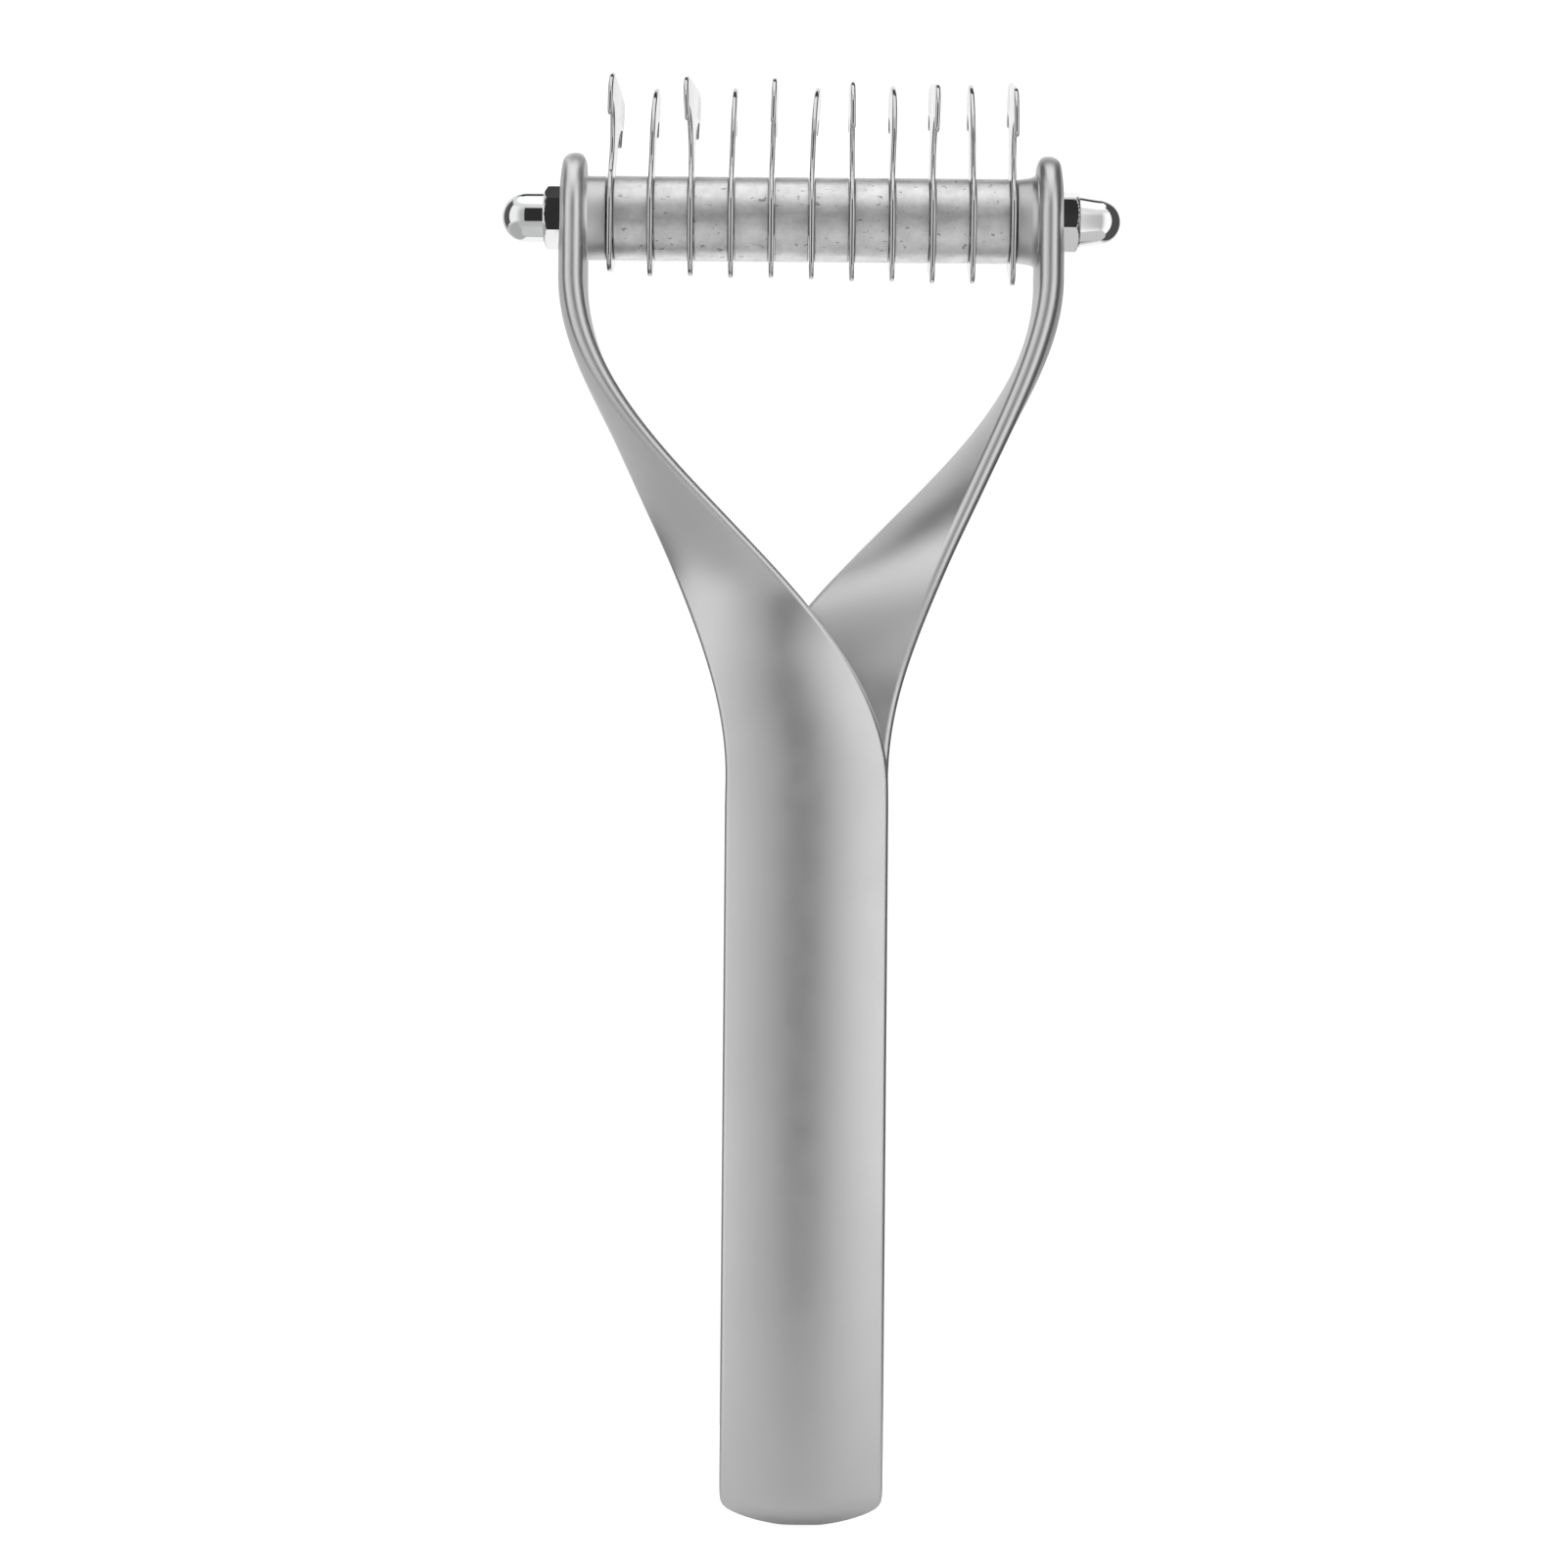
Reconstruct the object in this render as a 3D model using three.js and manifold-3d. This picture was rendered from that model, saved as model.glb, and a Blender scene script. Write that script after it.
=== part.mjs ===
// Dematting comb: a forked metal handle carrying hooked blades and tube spacers on a cross rod.
// Millimetres. +Z runs along the handle towards the blades, +X along the rod, -Y is the front.
// The origin is at the butt of the handle, on its axis.
import * as THREE from 'three';
import { mergeVertices } from 'three/addons/utils/BufferGeometryUtils.js';
import Module from 'manifold-3d';

const wasm = await Module();
wasm.setup();

// Running clearance kept between pieces that touch on the real object
const GAP = 0.25;

// Cross rod, M4
const ROD_HEIGHT = 166.6;
const ROD_RADIUS = 2.0;
const ROD_HALF_LENGTH = 36.3;
const ROD_CHAMFER = 0.4;
const ROD_SEGMENTS = 28;

// Clearance hole for the rod in the ears, blades, spacers and nuts
const HOLE_RADIUS = ROD_RADIUS + 0.3;
const HOLE_SEGMENTS = 24;

// Acorn nuts, M4: a chamfered hexagon, then the dome
const NUT_ACROSS_FLATS = 7.0;
const NUT_BASE = 31.5;
const NUT_HEX_END = 33.95;
const NUT_TIP = 39.4;
const NUT_CHAMFER = 0.35;
const NUT_DOME_RADIUS = { left: 3.15, right: 3.25 };
const NUT_DOME_END_RADIUS = { left: 3.15, right: 2.85 };
const NUT_BORE_DEPTH = 5.2;
const NUT_SEGMENTS = 36;
// How far each tightened nut has stopped from having a flat to the front; positive tips it up
const NUT_TURN_DEG = { left: 0, right: 12 };
// How far a joined or cutting body runs past the face it works on
const OVERRUN = 1;

// Blades, 0.6 mm sheet, on a constant pitch; odd blades have a front and a back hook.
// The eye round the rod is drawn out to a heel at the lower front.
const BLADE_COUNT = 11;
const BLADE_PITCH = 5.1;
const BLADE_THICKNESS = 0.6;
const EYE_RADIUS = 6.9;
const HEEL_RADIUS = 2.5;
const HEEL_DROP = 5.25;
const BLADE_TOP = 17.2;
const BLADE_HALF_WIDTH = 9.8;
const HOOK_SHOULDER_RADIUS = 3.8;
const HOOK_TIP_HEIGHT = 12.0;
const HOOK_TIP_RADIUS = 0.8;
const GULLET_RADIUS = 5.5;
const GULLET_HEIGHT = 7.7;
const STEM_HALF_WIDTH = 3.0;
const STEM_FOOT_SPREAD_DEG = 36;
// How far each loose blade has swung about the rod, left to right; positive lowers the front hook
const BLADE_LEAN_DEG = [-4, 2.9, 2, 4.2, 3.7, 5.3, 7.9, 7.8, 10.3, 10.2, 13.2];

// Tube spacers between the blades
const SPACER_RADIUS = 5.35;
const SPACER_LENGTH = BLADE_PITCH - BLADE_THICKNESS - 2 * GAP;
const SPACER_CHAMFER = 0.25;
const SPACER_SEGMENTS = 36;

// Handle: a lens section between rounded edges, ending in a shallow arc at the butt
const HANDLE_HALF_WIDTH = 10.44;
const HANDLE_EDGE_RADIUS = 0.8;
const HANDLE_FACE_SLOPE_DEG = 22;
const BUTT_ARC_RADIUS = 23;
const BUTT_HEIGHT = 5.75;
const BUTT_CORNER_POWER = 13;
const BUTT_ROLL_DEPTH = 3.2;

// Each arm is one layer of the handle, twisted a quarter turn on its way out to the ear.
// A law eases a value from start to end between two heights; ease is the pull of each end.
const EVEN = [0.4, 0.4];
const ARM_OFFSET = { from: 94.45, to: 159.1, start: 0, end: 30.07, ease: [0.38, 0.33] };
const ARM_TWIST_DEG = { from: 103.5, to: 153.6, start: 90, end: 0, ease: [0.41, 0.5] };
const ARM_HALF_WIDTH = { from: 91, to: 127.7, start: HANDLE_HALF_WIDTH, end: 7.2, ease: [0.5, 0.29] };
const EAR_WIDENING = { from: 126, to: 160, start: 0, end: 0.7, ease: EVEN };
const ARM_EDGE_RADIUS = { from: 95, to: 150, start: HANDLE_EDGE_RADIUS, end: 1.33, ease: EVEN };
const ARM_FACE_SLOPE_DEG = { from: 98, to: 146, start: HANDLE_FACE_SLOPE_DEG, end: 14, ease: EVEN };
const ARM_INNER_SLOPE_DEG = { from: 120, to: 150, start: 0, end: 3, ease: EVEN };
// Front-to-back path of an arm's centre line, as [height, depth]
const ARM_DEPTH_KNOTS = [
  [92, 0],
  [100, -0.5],
  [108, -0.5],
  [118, 1.2],
  [126, 1.2],
  [142, 0],
];

// Ears at the top of the arms
const EAR_TOP = 174.85;
const EAR_RISE = EAR_TOP - ROD_HEIGHT;
const BOSS_FACE = 25.8 + GAP;
const BOSS_ROOT = 30.2;
const BOSS_RADIUS = 5.3;
const BOSS_ROOT_RADIUS = { left: 5.42, right: 5.7 };
const BOSS_SEGMENTS = 36;
const SPOT_FACE_FLOOR = NUT_BASE - GAP;
const SPOT_FACE_RADIUS = 4.35;

// Mesh density
const ROLL_STEPS = 4;
const ROLL_FOOT_STEP = 0.12;
const LEAST_WIDTH = 1.05;
const OUTER_FACE_STEPS = 8;
const INNER_FACE_STEPS = 5;
const BUTT_STEPS = 7;
const GRIP_STEPS = 6;
const ARM_STEPS = 34;
const EAR_STEPS = 4;
const EAR_END_STEPS = 10;
const NUT_DOME_STEPS = 8;
const BLADE_CURVE_STEPS = 9;
const WELD_DISTANCE = 1e-4;

const FINISH = {
  satinPlate: { color: 0xb9b9ba, roughness: 0.32, metalness: 1 },
  chrome: { color: 0xdcdddf, roughness: 0.08, metalness: 1 },
  polishedSteel: { color: 0xd2d4d6, roughness: 0.14, metalness: 1 },
  zincSteel: { color: 0xb4b6b9, roughness: 0.35, metalness: 1 },
  millTube: { color: 0xa9abae, roughness: 0.5, metalness: 1 },
};

const degrees = THREE.MathUtils.degToRad;

// Value of a law at a height: a cubic curve that starts and ends level
function follow(law, height) {
  const along = THREE.MathUtils.clamp((height - law.from) / (law.to - law.from), 0, 1);
  const [pullStart, pullEnd] = law.ease;
  let low = 0;
  let high = 1;
  for (let step = 0; step < 40; step += 1) {
    const t = (low + high) / 2;
    const reached = 3 * (1 - t) ** 2 * t * pullStart + 3 * (1 - t) * t * t * (1 - pullEnd) + t ** 3;
    if (reached < along) low = t;
    else high = t;
  }
  const t = (low + high) / 2;
  const share = 3 * (1 - t) * t * t + t ** 3;
  return law.start + (law.end - law.start) * share;
}

// Smooth curve through [height, value] knots, level at both ends
function throughKnots(knots, height) {
  const last = knots.length - 1;
  if (height <= knots[0][0]) return knots[0][1];
  if (height >= knots[last][0]) return knots[last][1];
  const slopeAt = (i) => {
    if (i === 0 || i === last) return 0;
    return (knots[i + 1][1] - knots[i - 1][1]) / (knots[i + 1][0] - knots[i - 1][0]);
  };
  const i = knots.findIndex((knot) => knot[0] > height) - 1;
  const span = knots[i + 1][0] - knots[i][0];
  const t = (height - knots[i][0]) / span;
  const rise = knots[i][1] + (knots[i + 1][1] - knots[i][1]) * t * t * (3 - 2 * t);
  return rise + span * t * (1 - t) * ((1 - t) * slopeAt(i) - t * slopeAt(i + 1));
}

// Section of one layer: rounded edges of one radius joined by two crowned faces.
// Returns [across, outward] points, running from the inner face over the right-hand edge.
function layerSection({ halfWidth, edgeRadius, outerSlope, innerSlope }) {
  const points = [];
  const edgeCentre = halfWidth - edgeRadius;
  const rollTop = Math.PI / 2 - outerSlope;
  const rollFoot = Math.PI / 2 - innerSlope;
  const rollStart = Math.min(rollTop, rollFoot - ROLL_FOOT_STEP);
  const rollAngles = [-rollFoot];
  for (let step = 0; step <= ROLL_STEPS; step += 1) {
    rollAngles.push(-rollStart + ((rollTop + rollStart) * step) / ROLL_STEPS);
  }
  const roll = (side, angles) => {
    for (const angle of angles) {
      points.push([side * (edgeCentre + edgeRadius * Math.cos(angle)), edgeRadius * Math.sin(angle)]);
    }
  };
  const face = (side, slope, steps) => {
    const reach = edgeCentre + edgeRadius * Math.sin(slope);
    const rim = edgeRadius * Math.cos(slope);
    for (let step = 1; step < steps; step += 1) {
      const across = side * reach * Math.cos((Math.PI * step) / steps);
      const crown = (Math.tan(slope) / 2) * (reach - (across * across) / reach);
      points.push([across, side * (rim + crown)]);
    }
  };
  roll(1, rollAngles);
  face(1, outerSlope, OUTER_FACE_STEPS);
  roll(-1, rollAngles.reverse());
  face(-1, innerSlope, INNER_FACE_STEPS);
  return points;
}

// How much of the full width and edge thickness is left at a height, at the butt and the ear top
function endShrink(height) {
  if (height < 2 * BUTT_HEIGHT) {
    const arc = Math.sqrt(2 * BUTT_ARC_RADIUS * height - height * height) / HANDLE_HALF_WIDTH;
    const width = (1 + arc ** -BUTT_CORNER_POWER) ** (-1 / BUTT_CORNER_POWER);
    const deep = Math.min(height / BUTT_ROLL_DEPTH, 1);
    return { width, thickness: Math.sqrt(1 - (1 - deep) ** 2) };
  }
  if (height > ROD_HEIGHT) {
    const up = (height - ROD_HEIGHT) / EAR_RISE;
    const below = Math.min((EAR_TOP - height) / ARM_EDGE_RADIUS.end, 1);
    return { width: Math.sqrt(1 - up * up), thickness: Math.sqrt(1 - (1 - below) ** 2) };
  }
  return { width: 1, thickness: 1 };
}

// Points of the front layer, or of the back layer when side is -1, at a height
function layerRing(height, side) {
  const shrink = endShrink(height);
  const edgeRadius = follow(ARM_EDGE_RADIUS, height) * shrink.thickness;
  const fullWidth = follow(ARM_HALF_WIDTH, height) + follow(EAR_WIDENING, height);
  const outline = layerSection({
    halfWidth: Math.max(fullWidth * shrink.width, edgeRadius * LEAST_WIDTH),
    edgeRadius,
    outerSlope: degrees(follow(ARM_FACE_SLOPE_DEG, height) * shrink.thickness),
    innerSlope: degrees(follow(ARM_INNER_SLOPE_DEG, height) * shrink.thickness),
  });
  const twist = degrees(follow(ARM_TWIST_DEG, height));
  const centreX = -follow(ARM_OFFSET, height);
  const centreY = throughKnots(ARM_DEPTH_KNOTS, height);
  return outline.map(([across, outward]) => [
    side * (centreX + across * Math.sin(twist) - outward * Math.cos(twist)),
    side * (centreY - across * Math.cos(twist) - outward * Math.sin(twist)),
    height,
  ]);
}

// Heights of the sections: close together where the shape turns quickly
function layerHeights() {
  const heights = [];
  for (let step = 1; step < BUTT_STEPS; step += 1) {
    heights.push(BUTT_HEIGHT * (1 - Math.cos((Math.PI / 2) * (step / BUTT_STEPS))));
  }
  const straight = (from, to, steps) => {
    for (let step = 0; step < steps; step += 1) heights.push(from + ((to - from) * step) / steps);
  };
  straight(BUTT_HEIGHT, ARM_HALF_WIDTH.from, GRIP_STEPS);
  straight(ARM_HALF_WIDTH.from, ARM_TWIST_DEG.to, ARM_STEPS);
  straight(ARM_TWIST_DEG.to, ROD_HEIGHT, EAR_STEPS);
  for (let step = 0; step < EAR_END_STEPS; step += 1) {
    heights.push(ROD_HEIGHT + EAR_RISE * Math.sin((Math.PI / 2) * (step / EAR_END_STEPS)));
  }
  return heights;
}

// Closed solid through a stack of rings with the same number of points, capped by fans
function loftSolid(rings) {
  const count = rings[0].length;
  const vertices = rings.flat(2);
  const triangles = [];
  for (let ring = 0; ring < rings.length - 1; ring += 1) {
    for (let i = 0; i < count; i += 1) {
      const here = ring * count + i;
      const next = ring * count + ((i + 1) % count);
      triangles.push(here, next + count, next, here, here + count, next + count);
    }
  }
  const cap = (ring, order) => {
    const centre = vertices.length / 3;
    const middle = [0, 0, 0];
    for (const point of rings[ring]) {
      for (let axis = 0; axis < 3; axis += 1) middle[axis] += point[axis] / count;
    }
    vertices.push(...middle);
    for (let i = 0; i < count; i += 1) {
      const here = ring * count + i;
      const next = ring * count + ((i + 1) % count);
      triangles.push(centre, ...(order > 0 ? [next, here] : [here, next]));
    }
  };
  cap(0, -1);
  cap(rings.length - 1, 1);
  return new wasm.Manifold(new wasm.Mesh({
    numProp: 3,
    vertProperties: new Float32Array(vertices),
    triVerts: new Uint32Array(triangles),
  }));
}

// Geometry with its split corners joined, so that it closes
function weld(geometry) {
  const bare = geometry.clone();
  bare.deleteAttribute('normal');
  bare.deleteAttribute('uv');
  return mergeVertices(bare, WELD_DISTANCE);
}

// Plain geometry to solid, for joining and cutting
function toSolid(geometry) {
  const welded = weld(geometry);
  return new wasm.Manifold(new wasm.Mesh({
    numProp: 3,
    vertProperties: new Float32Array(welded.attributes.position.array),
    triVerts: new Uint32Array(welded.index.array),
  }));
}

function fromSolid(solid) {
  const mesh = solid.getMesh();
  const geometry = new THREE.BufferGeometry();
  geometry.setAttribute('position', new THREE.BufferAttribute(new Float32Array(mesh.vertProperties), 3));
  geometry.setIndex(new THREE.BufferAttribute(new Uint32Array(mesh.triVerts), 1));
  geometry.computeVertexNormals();
  return geometry;
}

// Solid of revolution about the rod axis from a closed loop of [distance along X, radius] points
function turned(loop, segments) {
  const profile = loop.map(([along, radius]) => new THREE.Vector2(radius, along));
  const geometry = new THREE.LatheGeometry([...profile, profile[0].clone()], segments);
  geometry.rotateZ(-Math.PI / 2);
  geometry.translate(0, 0, ROD_HEIGHT);
  return geometry;
}

// Cylinder or cone along the rod axis between two X positions
function rodWise(fromX, toX, fromRadius, toRadius, segments) {
  const geometry = new THREE.CylinderGeometry(toRadius, fromRadius, toX - fromX, segments);
  geometry.rotateZ(-Math.PI / 2);
  geometry.translate((fromX + toX) / 2, 0, ROD_HEIGHT);
  return toSolid(geometry);
}

function makeHandle() {
  const heights = layerHeights();
  let yoke = loftSolid(heights.map((height) => layerRing(height, 1)));
  yoke = yoke.add(loftSolid(heights.map((height) => layerRing(height, -1))));
  const { left, right } = BOSS_ROOT_RADIUS;
  yoke = yoke.add(rodWise(-BOSS_ROOT, -BOSS_FACE, left, BOSS_RADIUS, BOSS_SEGMENTS));
  yoke = yoke.add(rodWise(BOSS_FACE, BOSS_ROOT, BOSS_RADIUS, right, BOSS_SEGMENTS));
  for (const side of [-1, 1]) {
    const hole = [side * NUT_TIP, side * (BOSS_FACE - OVERRUN)].sort((a, b) => a - b);
    const spot = [side * NUT_TIP, side * SPOT_FACE_FLOOR].sort((a, b) => a - b);
    yoke = yoke.subtract(rodWise(...hole, HOLE_RADIUS, HOLE_RADIUS, HOLE_SEGMENTS));
    yoke = yoke.subtract(rodWise(...spot, SPOT_FACE_RADIUS, SPOT_FACE_RADIUS, BOSS_SEGMENTS));
  }
  return fromSolid(yoke);
}

function makeRod() {
  const inner = ROD_RADIUS - ROD_CHAMFER;
  const geometry = turned([
    [-ROD_HALF_LENGTH, 0],
    [-ROD_HALF_LENGTH, inner],
    [-ROD_HALF_LENGTH + ROD_CHAMFER, ROD_RADIUS],
    [ROD_HALF_LENGTH - ROD_CHAMFER, ROD_RADIUS],
    [ROD_HALF_LENGTH, inner],
    [ROD_HALF_LENGTH, 0],
  ], ROD_SEGMENTS);
  return fromSolid(toSolid(geometry));
}

// Hexagon of a nut pointing along +X, its corners broken at both ends
function nutHexagon(turnDeg) {
  const corner = NUT_ACROSS_FLATS / Math.sqrt(3);
  const geometry = new THREE.CylinderGeometry(corner, corner, NUT_HEX_END - NUT_BASE, 6);
  geometry.rotateZ(-Math.PI / 2);
  geometry.rotateX(-degrees(turnDeg));
  geometry.translate((NUT_BASE + NUT_HEX_END) / 2, 0, ROD_HEIGHT);
  const flats = NUT_ACROSS_FLATS / 2;
  const clear = corner * 1.02;
  const cones = turned([
    [NUT_BASE - NUT_CHAMFER, 0],
    [NUT_BASE, flats],
    [NUT_BASE + NUT_CHAMFER, clear],
    [NUT_HEX_END - NUT_CHAMFER, clear],
    [NUT_HEX_END, flats],
    [NUT_HEX_END + NUT_CHAMFER, 0],
  ], NUT_SEGMENTS);
  return toSolid(geometry).intersect(toSolid(cones));
}

// Acorn nut: hexagon, dome, blind bore
function makeNut(side) {
  const baseRadius = NUT_DOME_RADIUS[side];
  const endRadius = NUT_DOME_END_RADIUS[side];
  const domeStart = NUT_TIP - endRadius;
  const domeRoot = NUT_HEX_END - OVERRUN;
  const dome = [[domeRoot, 0], [domeRoot, baseRadius], [NUT_HEX_END, baseRadius]];
  for (let step = 0; step < NUT_DOME_STEPS; step += 1) {
    const angle = (Math.PI / 2) * (step / NUT_DOME_STEPS);
    dome.push([domeStart + endRadius * Math.sin(angle), endRadius * Math.cos(angle)]);
  }
  dome.push([NUT_TIP, 0]);
  const boreEnd = NUT_BASE + NUT_BORE_DEPTH;
  const bore = toSolid(turned([
    [NUT_BASE - OVERRUN, 0],
    [NUT_BASE - OVERRUN, HOLE_RADIUS],
    [boreEnd, HOLE_RADIUS],
    [boreEnd + HOLE_RADIUS / 2, 0],
  ], HOLE_SEGMENTS));
  const body = nutHexagon(NUT_TURN_DEG[side]).add(toSolid(turned(dome, NUT_SEGMENTS)));
  const geometry = fromSolid(body.subtract(bore));
  if (side === 'left') geometry.rotateZ(Math.PI);
  return geometry;
}

// Points of an arc in a blade's own plane, in degrees from +across towards up
function arcPoints(across, up, radius, fromDeg, toDeg) {
  const points = [];
  for (let step = 0; step <= BLADE_CURVE_STEPS; step += 1) {
    const angle = degrees(fromDeg + ((toDeg - fromDeg) * step) / BLADE_CURVE_STEPS);
    points.push(new THREE.Vector2(across + radius * Math.cos(angle), up + radius * Math.sin(angle)));
  }
  return points;
}

function circlePoints(radius, segments) {
  const points = [];
  for (let step = 0; step < segments; step += 1) {
    const angle = (2 * Math.PI * step) / segments;
    points.push(new THREE.Vector2(radius * Math.cos(angle), radius * Math.sin(angle)));
  }
  return points;
}

// Back hook: over the shoulder, round the safety tip, then down the hollow edge to the stem
function hookPoints() {
  const shoulder = { across: BLADE_HALF_WIDTH - HOOK_SHOULDER_RADIUS, up: BLADE_TOP - HOOK_SHOULDER_RADIUS };
  const tip = BLADE_HALF_WIDTH - HOOK_TIP_RADIUS;
  const gullet = STEM_HALF_WIDTH + GULLET_RADIUS;
  const throat = THREE.MathUtils.radToDeg(Math.acos((tip - HOOK_TIP_RADIUS - gullet) / GULLET_RADIUS));
  return [
    ...arcPoints(shoulder.across, shoulder.up, HOOK_SHOULDER_RADIUS, 90, 0),
    ...arcPoints(tip, HOOK_TIP_HEIGHT, HOOK_TIP_RADIUS, 0, -180),
    ...arcPoints(gullet, GULLET_HEIGHT, GULLET_RADIUS, throat, 180),
  ];
}

// Eye round the rod, from the back of the stem down and up to its front, with the heel on the way
function eyePoints() {
  const heelAcross = EYE_RADIUS - HEEL_RADIUS;
  const heelStart = 180 - 2 * THREE.MathUtils.radToDeg(Math.atan2(HEEL_DROP, -heelAcross));
  return [
    ...arcPoints(0, 0, EYE_RADIUS, 90 - STEM_FOOT_SPREAD_DEG, heelStart),
    ...arcPoints(-heelAcross, -HEEL_DROP, HEEL_RADIUS, heelStart, -180),
    ...arcPoints(0, 0, EYE_RADIUS, 180, 90 + STEM_FOOT_SPREAD_DEG),
  ];
}

// Plain front of a single-hooked blade: one long arc from the stem to the top of the hook
function plainFrontPoints() {
  const across = BLADE_HALF_WIDTH - HOOK_SHOULDER_RADIUS;
  const radius = across + STEM_HALF_WIDTH;
  return arcPoints(across, BLADE_TOP - radius, radius, 180, 90);
}

// Flat blade in its own plane: across is Y, up is Z, origin on the rod axis
function bladeShape(doubleHooked) {
  const back = hookPoints();
  const front = back.map((point) => new THREE.Vector2(-point.x, point.y)).reverse();
  const shape = new THREE.Shape([...back, ...eyePoints(), ...(doubleHooked ? front : plainFrontPoints())]);
  shape.holes.push(new THREE.Path(circlePoints(HOLE_RADIUS, HOLE_SEGMENTS)));
  return shape;
}

function makeBlade(index) {
  const shape = bladeShape(index % 2 === 0);
  const geometry = weld(new THREE.ExtrudeGeometry(shape, { depth: BLADE_THICKNESS, bevelEnabled: false }));
  geometry.translate(0, 0, -BLADE_THICKNESS / 2);
  const sheetToPart = new THREE.Matrix4().makeBasis(
    new THREE.Vector3(0, 1, 0),
    new THREE.Vector3(0, 0, 1),
    new THREE.Vector3(1, 0, 0),
  );
  geometry.applyMatrix4(sheetToPart);
  geometry.rotateX(degrees(BLADE_LEAN_DEG[index]));
  geometry.translate(bladeX(index), 0, ROD_HEIGHT);
  return fromSolid(toSolid(geometry));
}

function bladeX(index) {
  return (index - (BLADE_COUNT - 1) / 2) * BLADE_PITCH;
}

function makeSpacer(index) {
  const middle = (bladeX(index) + bladeX(index + 1)) / 2;
  const half = SPACER_LENGTH / 2;
  const rim = SPACER_RADIUS - SPACER_CHAMFER;
  const geometry = turned([
    [middle - half, HOLE_RADIUS],
    [middle - half, rim],
    [middle - half + SPACER_CHAMFER, SPACER_RADIUS],
    [middle + half - SPACER_CHAMFER, SPACER_RADIUS],
    [middle + half, rim],
    [middle + half, HOLE_RADIUS],
  ], SPACER_SEGMENTS);
  return fromSolid(toSolid(geometry));
}

function piece(name, geometry, finish) {
  const mesh = new THREE.Mesh(geometry, new THREE.MeshStandardMaterial(finish));
  mesh.name = name;
  return mesh;
}

function numbered(stem, index) {
  return `${stem}_${String(index + 1).padStart(2, '0')}`;
}

function makeComb() {
  const comb = new THREE.Group();
  comb.name = 'dematting_comb';
  comb.add(piece('handle_yoke', makeHandle(), FINISH.satinPlate));
  comb.add(piece('threaded_rod', makeRod(), FINISH.zincSteel));
  comb.add(piece('left_acorn_nut', makeNut('left'), FINISH.chrome));
  comb.add(piece('right_acorn_nut', makeNut('right'), FINISH.chrome));
  for (let index = 0; index < BLADE_COUNT; index += 1) {
    comb.add(piece(numbered('blade', index), makeBlade(index), FINISH.polishedSteel));
  }
  for (let index = 0; index < BLADE_COUNT - 1; index += 1) {
    comb.add(piece(numbered('spacer', index), makeSpacer(index), FINISH.millTube));
  }
  return comb;
}

export default makeComb();
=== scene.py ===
"""Dematting comb: a forked, satin-plated handle that carries hooked blades and tube spacers
on a cross rod with acorn nuts. Metres, in the frame of the CAD: +Z along the handle towards
the blades, +X along the rod, -Y towards the viewer."""

import math

import bmesh
import bpy
from mathutils import Matrix, Vector


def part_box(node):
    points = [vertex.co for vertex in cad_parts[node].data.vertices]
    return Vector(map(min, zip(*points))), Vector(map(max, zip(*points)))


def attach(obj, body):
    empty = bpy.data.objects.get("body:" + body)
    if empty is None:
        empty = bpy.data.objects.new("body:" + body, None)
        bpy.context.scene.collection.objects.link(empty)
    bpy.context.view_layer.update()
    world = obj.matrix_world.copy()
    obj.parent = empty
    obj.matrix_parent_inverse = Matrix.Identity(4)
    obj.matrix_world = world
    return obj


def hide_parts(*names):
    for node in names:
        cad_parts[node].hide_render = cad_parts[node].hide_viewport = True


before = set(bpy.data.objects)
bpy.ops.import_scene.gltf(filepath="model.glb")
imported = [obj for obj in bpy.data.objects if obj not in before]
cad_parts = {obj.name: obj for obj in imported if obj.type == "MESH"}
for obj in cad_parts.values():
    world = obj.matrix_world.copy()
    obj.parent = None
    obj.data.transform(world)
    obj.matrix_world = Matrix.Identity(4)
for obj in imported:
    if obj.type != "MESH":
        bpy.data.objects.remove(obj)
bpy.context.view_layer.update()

MM = 0.001
# Points of a mesh closer than this, in metres, are one point
SAME_POINT = 1e-6

# The rod axis, the blades' places and the foot of the handle come from the frame
ROD_LOW, ROD_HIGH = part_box("threaded_rod")
ROD_Z = (ROD_LOW.z + ROD_HIGH.z) / 2
BUTT_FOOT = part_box("handle_yoke")[0].z / MM
BLADES = [f"blade_{number:02d}" for number in range(1, 12)]
SPACERS = [f"spacer_{number:02d}" for number in range(1, 11)]

# Lengths from here to the tube spacers are in millimetres

# Handle section
HALF_WIDTH = 10.44
EDGE_RADIUS = 0.8
FACE_SLOPE_DEG = 22
BUTT_ARC_RADIUS = 23
BUTT_CORNER_POWER = 13
BUTT_ROLL_DEPTH = 3.2

# A law eases a value between two heights: (from, to, start, end, pull at start, pull at end)
ARM_OFFSET = (94.45, 159.1, 0, 30.07, 0.38, 0.33)
ARM_TWIST_DEG = (103.5, 153.6, 90, 0, 0.41, 0.5)
ARM_HALF_WIDTH = (91, 127.7, HALF_WIDTH, 7.2, 0.5, 0.29)
EAR_WIDENING = (126, 160, 0, 0.7, 0.4, 0.4)
ARM_EDGE_RADIUS = (95, 150, EDGE_RADIUS, 1.33, 0.4, 0.4)
ARM_FACE_SLOPE_DEG = (98, 146, FACE_SLOPE_DEG, 14, 0.4, 0.4)
ARM_INNER_SLOPE_DEG = (120, 150, 0, 3, 0.4, 0.4)
# How much of an arm's inner half is there: next to none in the handle, where the layers are one
ARM_INNER_SHARE = (84, 94, 0.12, 0.97, 0.4, 0.4)
ARM_DEPTH_KNOTS = ((92, 0), (100, -0.5), (108, -0.5), (118, 1.2), (126, 1.2), (142, 0))
EAR_TOP = 174.85
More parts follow.
